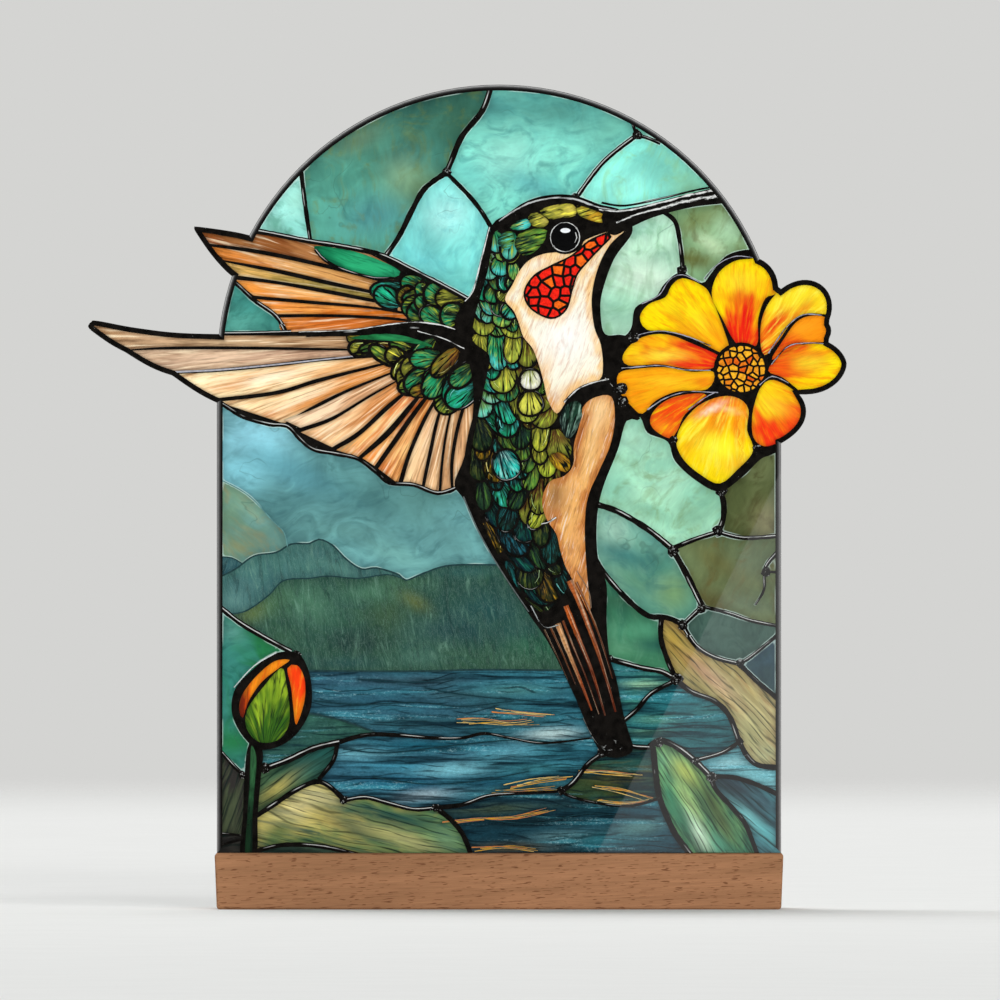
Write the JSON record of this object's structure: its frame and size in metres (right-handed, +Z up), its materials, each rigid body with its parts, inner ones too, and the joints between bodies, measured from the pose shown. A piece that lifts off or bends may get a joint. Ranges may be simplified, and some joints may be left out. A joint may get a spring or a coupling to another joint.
{
  "type": "acrylic plaque on a wooden base",
  "caption": "Flat printed acrylic plaque, an arched window with wings and a flower cut out beyond it, standing by a tab in a slotted wooden base.",
  "frame": {"origin": "centre of the base's underside, in the middle of the arch's width", "axes": "+Z up, the printed face looks along -Y, +X to the right of the printed face"},
  "size_m": [0.2044, 0.04, 0.222],
  "materials": {
    "printed_acrylic": "clear glossy acrylic with a printed face, teal overall",
    "wood": "oiled beech, satin"
  },
  "bodies": {
    "root": {"acrylic_plate": "printed_acrylic", "wooden_base": "wood"}
  },
  "joints": []
}
